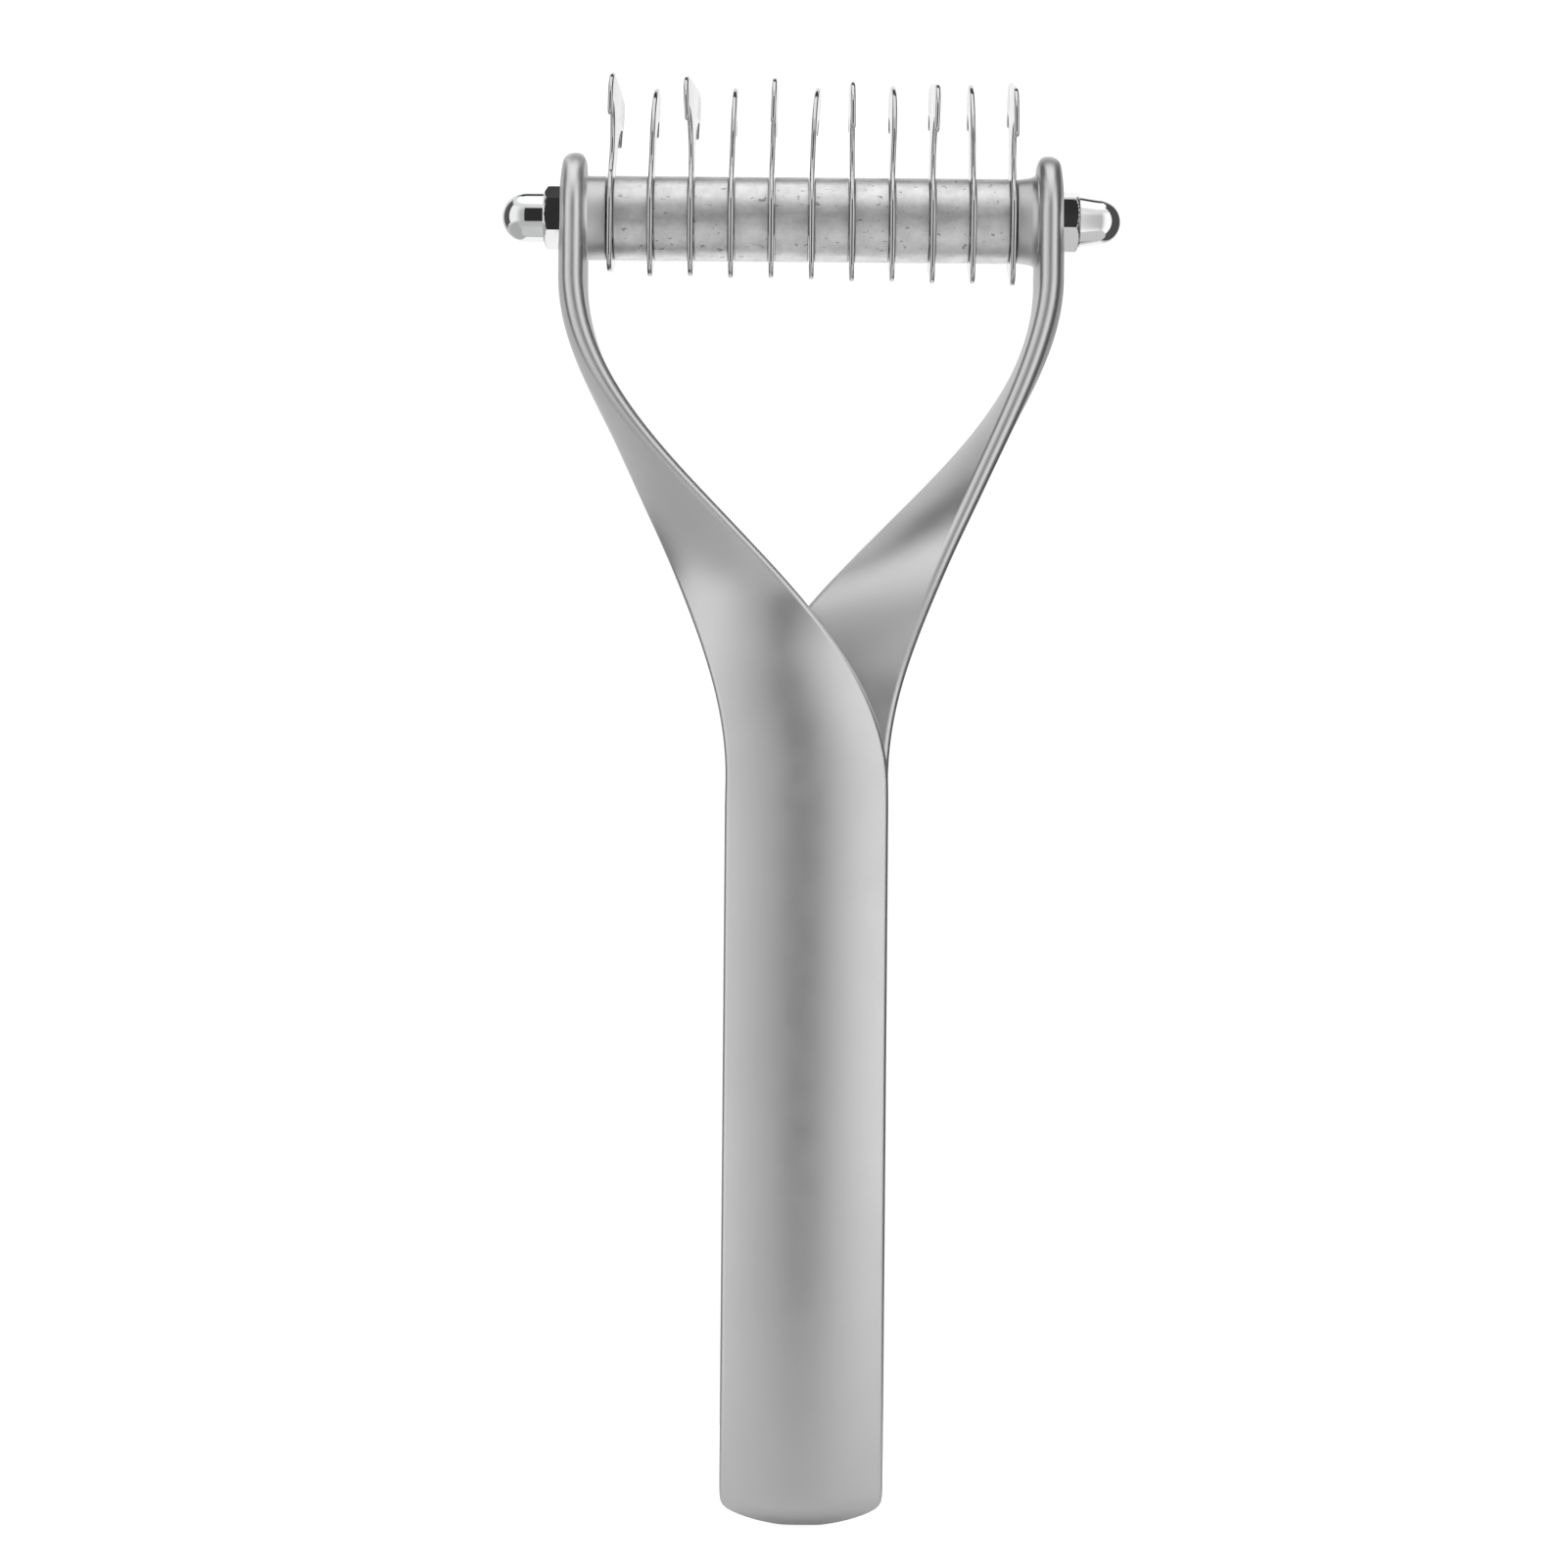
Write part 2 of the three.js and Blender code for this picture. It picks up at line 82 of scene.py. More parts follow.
# An outline's half width, in edge radii, is never less than this
LEAST_WIDTH = 1.05

# Mesh density: points round an edge roll and a face, sections in the butt, handle, arms and ear
# tops with the heights where the butt ends and the arms start, sides and steps of round pieces
ROLL_STEPS = 10
FACE_STEPS = 26
BUTT_HEIGHT = 5.75
ARMS_START = 88
BUTT_SECTIONS = 16
HANDLE_SECTIONS = 30
ARM_SECTIONS = 110
EAR_SECTIONS = 24
ROUND_SIDES = 96
NUT_SIDES = 144
NUT_CHAMFER_STEPS = 6
NUT_DOME_STEPS = 24
SPACER_STEPS = 12
BLADE_EDGE_STEPS = 4
ARC_STEP_DEG = 5
BISECTIONS = 40

# Edges that bend by more than this are drawn sharp
SHARP_DEG = {"handle": 40, "nut": 24, "blade": 50, "spacer": 30, "other": 35}

# Bosses and spot faces; a side is -1 for the left and 1 for the right
BOSS_FACE = 26.05
BOSS_ROOT = 30.2
BOSS_RADIUS = 5.3
BOSS_ROOT_RADIUS = {-1: 5.42, 1: 5.7}
# The boss flares into the ear through (distance before the root, extra radius) points
BOSS_FLARE = {
    -1: ((1.9, -0.1), (1.6, 0), (1.35, 0.2)),
    1: ((2.4, -0.2), (1.9, 0), (1.6, 0.3)),
}
BOSS_EDGE = 0.25
SPOT_FACE_FLOOR = 31.25
SPOT_FACE_RADIUS = 4.35
HOLE_RADIUS = 2.3

# Acorn nuts
NUT_ACROSS_FLATS = 7.0
NUT_BASE = 31.5
NUT_HEX_END = 33.95
NUT_TIP = 39.4
NUT_BORE_END = 36.7
NUT_CHAMFER = 0.35
NUT_COLLAR = 0.16
NUT_TURN_DEG = {-1: 0, 1: 12}
NUT_DOME_RADIUS = {-1: 3.15, 1: 3.25}
NUT_DOME_END_RADIUS = {-1: 3.15, 1: 2.85}

# Blades
BLADE_THICKNESS = 0.6
BLADE_EDGE = 0.24
# Keeps the finely drawn outline inside the CAD's
BLADE_INSET = 0.01
EYE_RADIUS = 6.9
HEEL_RADIUS = 2.5
HEEL_DROP = 5.25
BLADE_TOP = 17.2
BLADE_HALF_WIDTH = 9.8
HOOK_SHOULDER_RADIUS = 3.8
HOOK_TIP_HEIGHT = 12.0
HOOK_TIP_RADIUS = 0.8
GULLET_RADIUS = 5.5
GULLET_HEIGHT = 7.7
STEM_HALF_WIDTH = 3.0
STEM_FOOT_SPREAD_DEG = 36
BLADE_LEAN_DEG = (-4, 2.9, 2, 4.2, 3.7, 5.3, 7.9, 7.8, 10.3, 10.2, 13.2)
# The blades are not quite true: each leans sideways by the first number in millimetres at its
# hooks and is twisted there by the second in degrees, growing evenly from just above the rod
BLADE_BENDS = (
    (0.58, -2.4), (0.36, -1), (0, -4.5), (0.34, 0), (0.4, -0.6), (0.52, -2.9),
    (-0.1, 0), (0.33, 2.2), (0.2, 1), (-0.1, 0), (-0.1, -0.5),
)
BEND_START = 5.6

# Tube spacers
SPACER_RADIUS = 5.35
SPACER_CHAMFER = 0.12
SPACER_SIDE_GAP = 0.08

# Camera, in metres: the photograph spans this much at the object, from this far away
PHOTO_WIDTH = 0.2001
CAMERA_DISTANCE = 0.48
CAMERA_X = -0.0029
CAMERA_Z = 0.0946
CAMERA_ROLL_DEG = 0.48
CLIP_START = 0.01
SENSOR = 36

# What the eye sees behind the comb, a little over white
BACKDROP_LEVEL = 1.05
# The room that the metal reflects: its level, then panels laid over it in turn, each as
# (level, from and to round the horizon, from and to above it, softness), in degrees
ROOM_LEVEL = 0.6
ROOM_PANELS = (
    (0.80, -200, 200, 34, 100, 10),
    (1.15, -200, 200, 62, 100, 8),
    (0.97, -95, -20, -14, 34, 14),
    (1.08, 24, 80, -60, 34, 10),
    (0.45, -200, -50, -100, -30, 14),
    (0.08, 74, 146, -100, 60, 6),
    (0.10, -130, -92, -14, 42, 6),
    (1.0, 165, 200, -100, 45, 6),
    (1.0, -200, -165, -100, 45, 6),
    (0.06, 150, 200, 48, 66, 5),
    (0.06, -200, -150, 48, 66, 5),
    (0.50, -22, 9, -30, 20, 36),
    (0.03, -10, 7, -23, 36, 3),
)
# The floor, in metres, glows for the eye alone, so that it meets the backdrop without an edge
FLOOR_RADIUS = 0.12
FLOOR_PLACE = (0.02, -0.04, -0.0002)
FLOOR_GLOW = 0.7


def follow(law, height):
    """Value of a law at a height: a cubic curve that starts and ends level."""
    low_height, high_height, start, end, pull_start, pull_end = law
    along = min(max((height - low_height) / (high_height - low_height), 0), 1)
    low, high = 0.0, 1.0
    for _ in range(BISECTIONS):
        t = (low + high) / 2
        reached = 3 * (1 - t) ** 2 * t * pull_start + 3 * (1 - t) * t * t * (1 - pull_end) + t**3
        if reached < along:
            low = t
        else:
            high = t
    t = (low + high) / 2
    return start + (end - start) * (3 * (1 - t) * t * t + t**3)


def through_knots(knots, height):
    """Smooth curve through (height, value) knots, level at both ends."""
    if height <= knots[0][0]:
        return knots[0][1]
    if height >= knots[-1][0]:
        return knots[-1][1]

    def slope(i):
        if i in (0, len(knots) - 1):
            return 0
        return (knots[i + 1][1] - knots[i - 1][1]) / (knots[i + 1][0] - knots[i - 1][0])

    i = next(k for k, knot in enumerate(knots) if knot[0] > height) - 1
    span = knots[i + 1][0] - knots[i][0]
    t = (height - knots[i][0]) / span
    rise = knots[i][1] + (knots[i + 1][1] - knots[i][1]) * t * t * (3 - 2 * t)
    return rise + span * t * (1 - t) * ((1 - t) * slope(i) - t * slope(i + 1))


def end_shrink(height):
    """Shares of the full width and thickness left near the butt and the ear top."""
    rod = ROD_Z / MM
    # Above half its radius the butt's arc no longer narrows the handle
    if height < BUTT_ARC_RADIUS / 2:
        arc = math.sqrt(2 * BUTT_ARC_RADIUS * height - height * height) / HALF_WIDTH
        width = (1 + arc**-BUTT_CORNER_POWER) ** (-1 / BUTT_CORNER_POWER)
        deep = min(height / BUTT_ROLL_DEPTH, 1)
        return width, math.sqrt(1 - (1 - deep) ** 2)
    if height > rod:
        up = (height - rod) / (EAR_TOP - rod)
        below = min((EAR_TOP - height) / ARM_EDGE_RADIUS[3], 1)
        return math.sqrt(1 - up * up), math.sqrt(1 - (1 - below) ** 2)
    return 1, 1


def layer_section(half_width, edge_radius, outer_slope, inner_slope, inner_share):
    """Rounded edges joined by two crowned faces, as (across, outward) points."""
    points = []
    edge_centre = half_width - edge_radius

    def roll(side, start, end):
        for step in range(ROLL_STEPS + 1):
            angle = start + (end - start) * step / ROLL_STEPS
            across = side * (edge_centre + edge_radius * math.cos(angle))
            points.append((across, edge_radius * math.sin(angle)))

    def face(side, slope):
        reach = edge_centre + edge_radius * math.sin(slope)
        rim = edge_radius * math.cos(slope)
        for step in range(1, FACE_STEPS):
            across = side * reach * math.cos(math.pi * step / FACE_STEPS)
            crown = math.tan(slope) / 2 * (reach - across * across / reach)
            points.append((across, side * (rim + crown)))

    roll(1, inner_slope - math.pi / 2, math.pi / 2 - outer_slope)
    face(1, outer_slope)
    roll(-1, math.pi / 2 - outer_slope, inner_slope - math.pi / 2)
    face(-1, inner_slope)
    return [(across, outward if outward > 0 else outward * inner_share) for across, outward in points]


def layer_ring(height, side):
    """Points of the front layer, or of the back layer when side is -1, at a height."""
    width_share, thickness_share = end_shrink(height)
    edge_radius = follow(ARM_EDGE_RADIUS, height) * thickness_share
    full_width = follow(ARM_HALF_WIDTH, height) + follow(EAR_WIDENING, height)
    outline = layer_section(
        max(full_width * width_share, edge_radius * LEAST_WIDTH),
        edge_radius,
        math.radians(follow(ARM_FACE_SLOPE_DEG, height) * thickness_share),
        math.radians(follow(ARM_INNER_SLOPE_DEG, height) * thickness_share),
        follow(ARM_INNER_SHARE, height),
    )
    twist = math.radians(follow(ARM_TWIST_DEG, height))
    centre_x = -follow(ARM_OFFSET, height)
    centre_y = through_knots(ARM_DEPTH_KNOTS, height)
    return [
        Vector((
            side * (centre_x + across * math.sin(twist) - outward * math.cos(twist)),
            side * (centre_y - across * math.cos(twist) - outward * math.sin(twist)),
            height,
        )) * MM
        for across, outward in outline
    ]


def layer_heights():
    """Heights of the sections: close together at both ends and along the twist."""
    rod = ROD_Z / MM

    def even(low, high, count):
        return [low + (high - low) * step / count for step in range(count)]

    quarter = even(0, math.pi / 2, BUTT_SECTIONS)
    heights = [BUTT_FOOT + (BUTT_HEIGHT - BUTT_FOOT) * (1 - math.cos(turn)) for turn in quarter]
    heights += even(BUTT_HEIGHT, ARMS_START, HANDLE_SECTIONS)
    heights += even(ARMS_START, rod, ARM_SECTIONS)
    quarter = even(0, math.pi / 2, EAR_SECTIONS)
    heights += [rod + (EAR_TOP - rod) * math.sin(turn) for turn in quarter]
    return heights


def add_loft(work, rings):
    """Adds a closed skin over a stack of rings."""
    rows = [[work.verts.new(point) for point in ring] for ring in rings]
    count = len(rows[0])
    for lower, upper in zip(rows, rows[1:]):
        for i in range(count):
            j = (i + 1) % count
            work.faces.new((lower[i], upper[i], upper[j], lower[j]))
    work.faces.new(rows[0])
    work.faces.new(list(reversed(rows[-1])))


def add_turned(work, profile, closed=False):
    """Adds a solid of revolution about the rod axis from (x, radius) points in millimetres."""
    rings = []
    for x, radius in profile:
        if radius == 0:
            rings.append([work.verts.new((x * MM, 0, ROD_Z))])
            continue
        turn = [2 * math.pi * k / ROUND_SIDES for k in range(ROUND_SIDES)]
        rings.append([
            work.verts.new((x * MM, radius * MM * math.sin(a), ROD_Z + radius * MM * math.cos(a)))
            for a in turn
        ])
    pairs = list(zip(rings, rings[1:]))
    if closed:
        pairs.append((rings[-1], rings[0]))
    for first, second in pairs:
        for k in range(ROUND_SIDES):
            m = (k + 1) % ROUND_SIDES
            corners = [first[k % len(first)], second[k % len(second)]]
            corners += [second[m % len(second)], first[m % len(first)]]
            work.faces.new(list(dict.fromkeys(corners)))


def finish_mesh(work, name, sharp_deg=SHARP_DEG["other"]):
    """Turns a bmesh into a smooth-shaded object with sharp edges where it bends hard."""
    bmesh.ops.recalc_face_normals(work, faces=work.faces)
    mesh = bpy.data.meshes.new(name)
    work.to_mesh(mesh)
    work.free()
    made = bpy.data.objects.new(name, mesh)
    bpy.context.scene.collection.objects.link(made)
    shade(made, sharp_deg)
    return made


def shade(made, sharp_deg):
    """Smooth shading, but for edges that bend by more than an angle."""
    mesh = made.data
    mesh.polygons.foreach_set("use_smooth", [True] * len(mesh.polygons))
    work = bmesh.new()
    work.from_mesh(mesh)
    limit = math.radians(sharp_deg)
    for edge in work.edges:
        edge.smooth = len(edge.link_faces) == 2 and edge.calc_face_angle(0) < limit
    work.to_mesh(mesh)
    work.free()


def cut(target, cutter):
    """Cuts one object out of another for good."""
    boolean = target.modifiers.new("cut", "BOOLEAN")
    boolean.operation = "DIFFERENCE"
    boolean.solver = "EXACT"
    boolean.use_self = True
    boolean.object = cutter
    graph = bpy.context.evaluated_depsgraph_get()
    mesh = bpy.data.meshes.new_from_object(target.evaluated_get(graph))
    target.modifiers.clear()
    target.data = mesh
    bpy.data.objects.remove(cutter)


def boss_profile(side):
    """(x, radius) outline of a boss: rounded rim, body and a flare into the ear."""
    root = BOSS_ROOT_RADIUS[side]
    profile = [(BOSS_FACE, 0)]
    for turn in (0, math.pi / 6, math.pi / 3, math.pi / 2):
        along = BOSS_FACE + BOSS_EDGE * (1 - math.cos(turn))
        profile.append((along, BOSS_RADIUS - BOSS_EDGE * (1 - math.sin(turn))))
    profile += [(BOSS_ROOT - before, root + extra) for before, extra in BOSS_FLARE[side]]
    profile += [(BOSS_ROOT, profile[-1][1]), (BOSS_ROOT, 0)]
    return [(side * x, radius) for x, radius in profile]


def hole_tool(side):
    """Cutter for the rod's hole in an ear and boss, and for the spot face under the nut."""
    work = bmesh.new()
    mouth = BOSS_FACE - BOSS_EDGE
    add_turned(work, [
        (side * mouth, 0),
        (side * mouth, HOLE_RADIUS),
        (side * SPOT_FACE_FLOOR, HOLE_RADIUS),
        (side * SPOT_FACE_FLOOR, SPOT_FACE_RADIUS),
        (side * NUT_TIP, SPOT_FACE_RADIUS),
        (side * NUT_TIP, 0),
    ])
    return finish_mesh(work, "cutter")


def make_handle():
    """The casting: both layers and the bosses as one solid, with the rod's holes cut."""
    work = bmesh.new()
    heights = layer_heights()
    for side in (1, -1):
        add_loft(work, [layer_ring(height, side) for height in heights])
    for side in (-1, 1):
        add_turned(work, boss_profile(side))
    handle = finish_mesh(work, "handle")
    for side in (-1, 1):
        cut(handle, hole_tool(side))
    shade(handle, SHARP_DEG["handle"])
    return handle


def nut_stations(side):
    """(x, radius) along a nut, from the bore's end out and on to just short of the tip."""
    flat = NUT_ACROSS_FLATS / 2
    corner = flat / math.cos(math.pi / 6)
    base = NUT_DOME_RADIUS[side]
    tip = NUT_DOME_END_RADIUS[side]
    stations = [(NUT_BORE_END, HOLE_RADIUS), (NUT_BASE, HOLE_RADIUS)]
    for step in range(NUT_CHAMFER_STEPS + 1):
        share = step / NUT_CHAMFER_STEPS
        stations.append((NUT_BASE + NUT_CHAMFER * share, flat + (corner - flat) * share))
    for step in range(NUT_CHAMFER_STEPS + 1):
        share = 1 - step / NUT_CHAMFER_STEPS
        stations.append((NUT_HEX_END - NUT_CHAMFER * share, flat + (corner - flat) * share))
    stations.append((NUT_HEX_END + NUT_COLLAR / 4, (flat + base) / 2))
    stations.append((NUT_HEX_END + NUT_COLLAR, base))
    for step in range(NUT_DOME_STEPS):
        angle = math.pi / 2 * step / NUT_DOME_STEPS
        stations.append((NUT_TIP - tip * (1 - math.sin(angle)), tip * math.cos(angle)))
    return stations


def make_nut(side):
    """Acorn nut: chamfered hexagon, collar step and dome, all as one radius over angle and length."""
    flat = NUT_ACROSS_FLATS / 2
    turn = math.radians(NUT_TURN_DEG[side])
    work = bmesh.new()
    rows = []
    for x, radius in nut_stations(side):
        row = []
        for k in range(NUT_SIDES):
            angle = 2 * math.pi * k / NUT_SIDES
            off_flat = (angle - turn) % (math.pi / 3) - math.pi / 6
            reach = min(radius, flat / math.cos(off_flat))
            y = reach * math.sin(angle) * MM
            row.append(work.verts.new((side * x * MM, y, ROD_Z + reach * math.cos(angle) * MM)))
        rows.append(row)
    for first, second in zip(rows, rows[1:]):
        for k in range(NUT_SIDES):
            m = (k + 1) % NUT_SIDES
            work.faces.new((first[k], second[k], second[m], first[m]))
    work.faces.new(rows[0])
    end = work.verts.new((side * NUT_TIP * MM, 0, ROD_Z))
    for k in range(NUT_SIDES):
        work.faces.new((rows[-1][k], end, rows[-1][(k + 1) % NUT_SIDES]))
    return finish_mesh(work, "left_nut" if side < 0 else "right_nut", SHARP_DEG["nut"])


def arc_points(across, up, radius, start_deg, end_deg):
    """Points along an arc, both ends included, about ARC_STEP_DEG apart."""
    steps = round(abs(end_deg - start_deg) / ARC_STEP_DEG)
    turns = [math.radians(start_deg + (end_deg - start_deg) * k / steps) for k in range(steps + 1)]
    return [(across + radius * math.cos(turn), up + radius * math.sin(turn)) for turn in turns]


def blade_outline(double_hooked):
    """Outline of a blade in its own plane, (back, up) from the rod axis, in millimetres."""
    shoulder = BLADE_HALF_WIDTH - HOOK_SHOULDER_RADIUS
    tip = BLADE_HALF_WIDTH - HOOK_TIP_RADIUS
    gullet = STEM_HALF_WIDTH + GULLET_RADIUS
    throat = math.degrees(math.acos((tip - HOOK_TIP_RADIUS - gullet) / GULLET_RADIUS))
    heel = EYE_RADIUS - HEEL_RADIUS
    heel_start = 180 - 2 * math.degrees(math.atan2(HEEL_DROP, -heel))
    back = arc_points(shoulder, BLADE_TOP - HOOK_SHOULDER_RADIUS, HOOK_SHOULDER_RADIUS, 90, 0)
    back += arc_points(tip, HOOK_TIP_HEIGHT, HOOK_TIP_RADIUS, 0, -180)
    back += arc_points(gullet, GULLET_HEIGHT, GULLET_RADIUS, throat, 180)
    eye = arc_points(0, 0, EYE_RADIUS, 90 - STEM_FOOT_SPREAD_DEG, heel_start)
    eye += arc_points(-heel, -HEEL_DROP, HEEL_RADIUS, heel_start, -180)
    eye += arc_points(0, 0, EYE_RADIUS, 180, 90 + STEM_FOOT_SPREAD_DEG)
    if double_hooked:
        front = [(-y, z) for y, z in reversed(back)]
    else:
        sweep = shoulder + STEM_HALF_WIDTH
        front = arc_points(shoulder, BLADE_TOP - sweep, sweep, 180, 90)
    return back + eye + front


def blade_sheet(name, double_hooked):
    """Mesh of a true blade with rounded edges, standing upright about the origin."""
    sheet = bpy.data.curves.new(name, "CURVE")
    sheet.dimensions = "2D"
    sheet.fill_mode = "BOTH"
    sheet.extrude = (BLADE_THICKNESS / 2 - BLADE_EDGE) * MM
    sheet.bevel_depth = BLADE_EDGE * MM
    sheet.bevel_resolution = BLADE_EDGE_STEPS
    sheet.offset = -(BLADE_EDGE + BLADE_INSET) * MM
    eye = arc_points(0, 0, HOLE_RADIUS, 360, ARC_STEP_DEG)
    for outline in (blade_outline(double_hooked), eye):
        spline = sheet.splines.new("POLY")
        spline.points.add(len(outline) - 1)
        spline.use_cyclic_u = True
        for point, (back, up) in zip(spline.points, outline):
            point.co = (back * MM, up * MM, 0, 1)
    flat = bpy.data.objects.new(name, sheet)
    bpy.context.scene.collection.objects.link(flat)
    graph = bpy.context.evaluated_depsgraph_get()
    mesh = bpy.data.meshes.new_from_object(flat.evaluated_get(graph))
    bpy.data.objects.remove(flat)
    # The curve's X and Y become Y and Z
    mesh.transform(Matrix(((0, 0, 1, 0), (1, 0, 0, 0), (0, 1, 0, 0), (0, 0, 0, 1))))
    return mesh


def make_blade(index):
    """Blade in its place on the rod, a little bent and leaning as it stands in use."""
    name = BLADES[index]
    low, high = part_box(name)
    mesh = blade_sheet(name, double_hooked=index % 2 == 0)
    sideways, twist_deg = BLADE_BENDS[index]
    for vertex in mesh.vertices:
        share = max((vertex.co.z / MM - BEND_START) / (BLADE_TOP - BEND_START), 0)
        vertex.co = Matrix.Rotation(math.radians(twist_deg) * share, 4, "Z") @ vertex.co
        vertex.co.x += sideways * share * MM
    mesh.transform(Matrix.Rotation(math.radians(BLADE_LEAN_DEG[index]), 4, "X"))
    mesh.transform(Matrix.Translation(((low.x + high.x) / 2, 0, ROD_Z)))
    work = bmesh.new()
    work.from_mesh(mesh)
    bmesh.ops.remove_doubles(work, verts=work.verts, dist=SAME_POINT)
    return finish_mesh(work, name + "_sheet", SHARP_DEG["blade"])


def make_spacer(index):
    """Cut length of tube with broken edges."""
    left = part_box(BLADES[index])
    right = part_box(BLADES[index + 1])
    start = ((left[0].x + left[1].x) / 2) / MM + BLADE_THICKNESS / 2 + SPACER_SIDE_GAP
    end = ((right[0].x + right[1].x) / 2) / MM - BLADE_THICKNESS / 2 - SPACER_SIDE_GAP
    rim = SPACER_RADIUS - SPACER_CHAMFER
    length = end - start - 2 * SPACER_CHAMFER
    stations = [start + SPACER_CHAMFER + length * k / SPACER_STEPS for k in range(SPACER_STEPS + 1)]
    body = [(x, SPACER_RADIUS) for x in stations]
    profile = [(start, HOLE_RADIUS), (start, rim), *body, (end, rim), (end, HOLE_RADIUS)]
    work = bmesh.new()
    add_turned(work, profile, closed=True)
    return finish_mesh(work, SPACERS[index] + "_tube", SHARP_DEG["spacer"])


def nodes_of(name):
    """New material with an empty node tree but for its shader and output."""
    material = bpy.data.materials.new(name)
    material.use_nodes = True
    tree = material.node_tree
    shader = tree.nodes["Principled BSDF"]
    return material, tree, shader


def noise(tree, scale, stretch=(1, 1, 1), **inputs):
    """Noise texture in object space; a share below 1 draws its grain out along that axis."""
    where = tree.nodes.new("ShaderNodeTexCoord")
    mapping = tree.nodes.new("ShaderNodeMapping")
    mapping.inputs["Scale"].default_value = stretch
    tree.links.new(where.outputs["Object"], mapping.inputs["Vector"])
    made = tree.nodes.new("ShaderNodeTexNoise")
    made.inputs["Scale"].default_value = scale
    for key, value in inputs.items():
        made.inputs[key].default_value = value
    tree.links.new(mapping.outputs["Vector"], made.inputs["Vector"])
    return made


def ramp(tree, source, stops):
    """Colour ramp over a value; stops are (position, grey or colour)."""
    made = tree.nodes.new("ShaderNodeValToRGB")
    elements = made.color_ramp.elements
    while len(elements) < len(stops):
        elements.new(0.5)
    for element, (position, value) in zip(elements, stops):
        element.position = position
        colour = (value, value, value) if isinstance(value, (int, float)) else value
        element.color = (*colour, 1)
    tree.links.new(source, made.inputs["Fac"])
    return made.outputs["Color"]


def metal(name):
    """New metallic material."""
    material, tree, shader = nodes_of(name)
    shader.inputs["Metallic"].default_value = 1.0
    return material, tree, shader


def vary(tree, source, stops, socket):
    """Lets a texture vary a socket of a shader through a colour ramp."""
    tree.links.new(ramp(tree, source.outputs["Fac"], stops), socket)


def bump(tree, shader, source, distance, strength):
    """Fine relief on a material, from a texture."""
    made = tree.nodes.new("ShaderNodeBump")
    made.inputs["Distance"].default_value = distance
    made.inputs["Strength"].default_value = strength
    tree.links.new(source.outputs["Fac"], made.inputs["Height"])
    tree.links.new(made.outputs["Normal"], shader.inputs["Normal"])


def satin_plate():
    """Pearl nickel-chrome on a casting: even soft sheen with very faint mottling."""
    material, tree, shader = metal("satin_plate")
    mottle = noise(tree, 260, Detail=4, Roughness=0.55)
    vary(tree, mottle, [(0.3, 0.37), (0.7, 0.41)], shader.inputs["Roughness"])
    cloud = noise(tree, 45, Detail=3)
    greys = [(0.3, (0.70, 0.70, 0.705)), (0.7, (0.74, 0.74, 0.745))]
    vary(tree, cloud, greys, shader.inputs["Base Color"])
    grain = noise(tree, 2600, Detail=2)
    bump(tree, shader, grain, 0.000003, 0.2)
    return material


def bright_chrome():
    """Mirror chrome with faint handling haze."""
    material, tree, shader = metal("bright_chrome")
    haze = noise(tree, 420, Detail=4)
    vary(tree, haze, [(0.35, 0.03), (0.75, 0.10)], shader.inputs["Roughness"])
    cloud = noise(tree, 120)
    greys = [(0.3, (0.86, 0.865, 0.87)), (0.7, (0.92, 0.92, 0.925))]
    vary(tree, cloud, greys, shader.inputs["Base Color"])
    ripple = noise(tree, 300)
    bump(tree, shader, ripple, 0.00002, 0.12)
    return material


def polished_sheet():
    """Polished stainless sheet with fine grinding lines."""
    material, tree, shader = metal("polished_sheet")
    lines = noise(tree, 900, stretch=(1, 1, 0.06), Detail=3)
    vary(tree, lines, [(0.3, 0.05), (0.75, 0.13)], shader.inputs["Roughness"])
    cloud = noise(tree, 150, Detail=3)
    greys = [(0.3, (0.58, 0.585, 0.59)), (0.7, (0.7, 0.7, 0.705))]
    vary(tree, cloud, greys, shader.inputs["Base Color"])
    bump(tree, shader, lines, 0.000006, 0.3)
    return material


def mill_tube():
    """Dull tube as cut from stock: lengthwise draw lines, scuffs and small dark pits."""
    material, tree, shader = metal("mill_tube")
    draw = noise(tree, 700, stretch=(0.12, 1, 1), Detail=5, Roughness=0.7)
    scuff = noise(tree, 340, Detail=6, Roughness=0.75)
    pits = noise(tree, 1500, stretch=(0.6, 1, 1), Detail=3)
    greys = [(0.36, (0.76, 0.76, 0.765)), (0.62, (0.96, 0.96, 0.965))]
    mix = tree.nodes.new("ShaderNodeMix")
    mix.data_type = "RGBA"
    mix.blend_type = "MULTIPLY"
    mix.inputs["Factor"].default_value = 0.75
    tree.links.new(ramp(tree, scuff.outputs["Fac"], greys), mix.inputs["A"])
    tree.links.new(ramp(tree, pits.outputs["Fac"], [(0.29, 0.3), (0.36, 1.0)]), mix.inputs["B"])
    tree.links.new(mix.outputs["Result"], shader.inputs["Base Color"])
    vary(tree, draw, [(0.3, 0.33), (0.7, 0.5)], shader.inputs["Roughness"])
    bump(tree, shader, draw, 0.00004, 0.5)
    return material


def zinc_rod():
    """Plain zinc-plated steel for the hidden rod."""
    material, tree, shader = metal("zinc_rod")
    cloud = noise(tree, 500, Detail=3)
    vary(tree, cloud, [(0.3, 0.3), (0.7, 0.45)], shader.inputs["Roughness"])
    greys = [(0.3, (0.55, 0.56, 0.58)), (0.7, (0.63, 0.64, 0.65))]
    vary(tree, cloud, greys, shader.inputs["Base Color"])
    return material


def dress(made, material, slot, body, *replaced):
    """Gives a piece its material and body, and hides the CAD nodes it stands for; the slot argument
    is not used.
    """
    made.data.materials.clear()
    made.data.materials.append(material)
    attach(made, body)
    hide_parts(*replaced)


